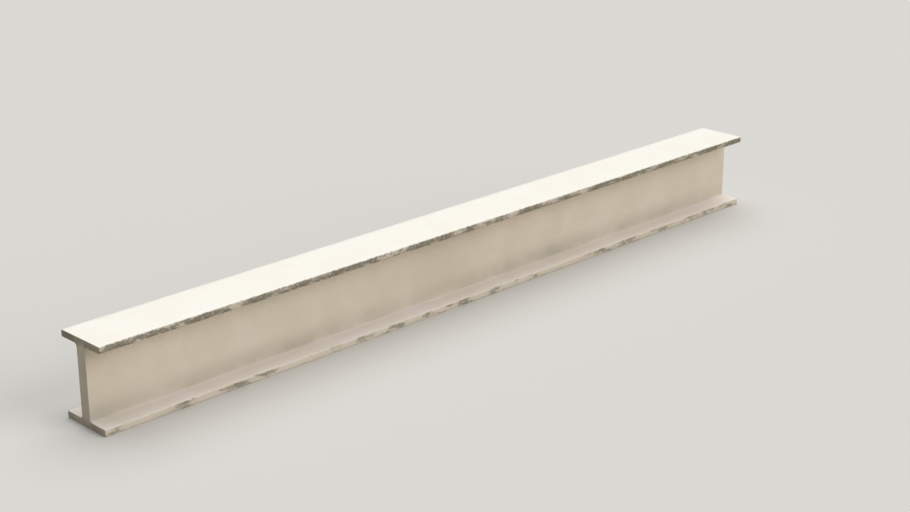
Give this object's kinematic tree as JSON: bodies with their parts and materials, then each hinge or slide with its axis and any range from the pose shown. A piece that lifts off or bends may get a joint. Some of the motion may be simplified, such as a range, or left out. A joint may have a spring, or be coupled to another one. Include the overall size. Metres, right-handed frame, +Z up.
{
  "type": "steel i-beam",
  "caption": "Straight painted steel I-beam: a thick web between parallel flanges, rounded at the roots, with square sawn ends; carries loads across a span.",
  "frame": {"origin": "under the middle of the beam, on the bottom flange's bearing face", "axes": "+X along the beam, +Y across the flanges, +Z up out of the top flange"},
  "size_m": [3.24, 0.206, 0.3],
  "materials": {
    "cream_paint": "matt cream paint, rubbed dark along the flange toes"
  },
  "bodies": {
    "root": {"i_beam": "cream_paint"}
  },
  "joints": []
}
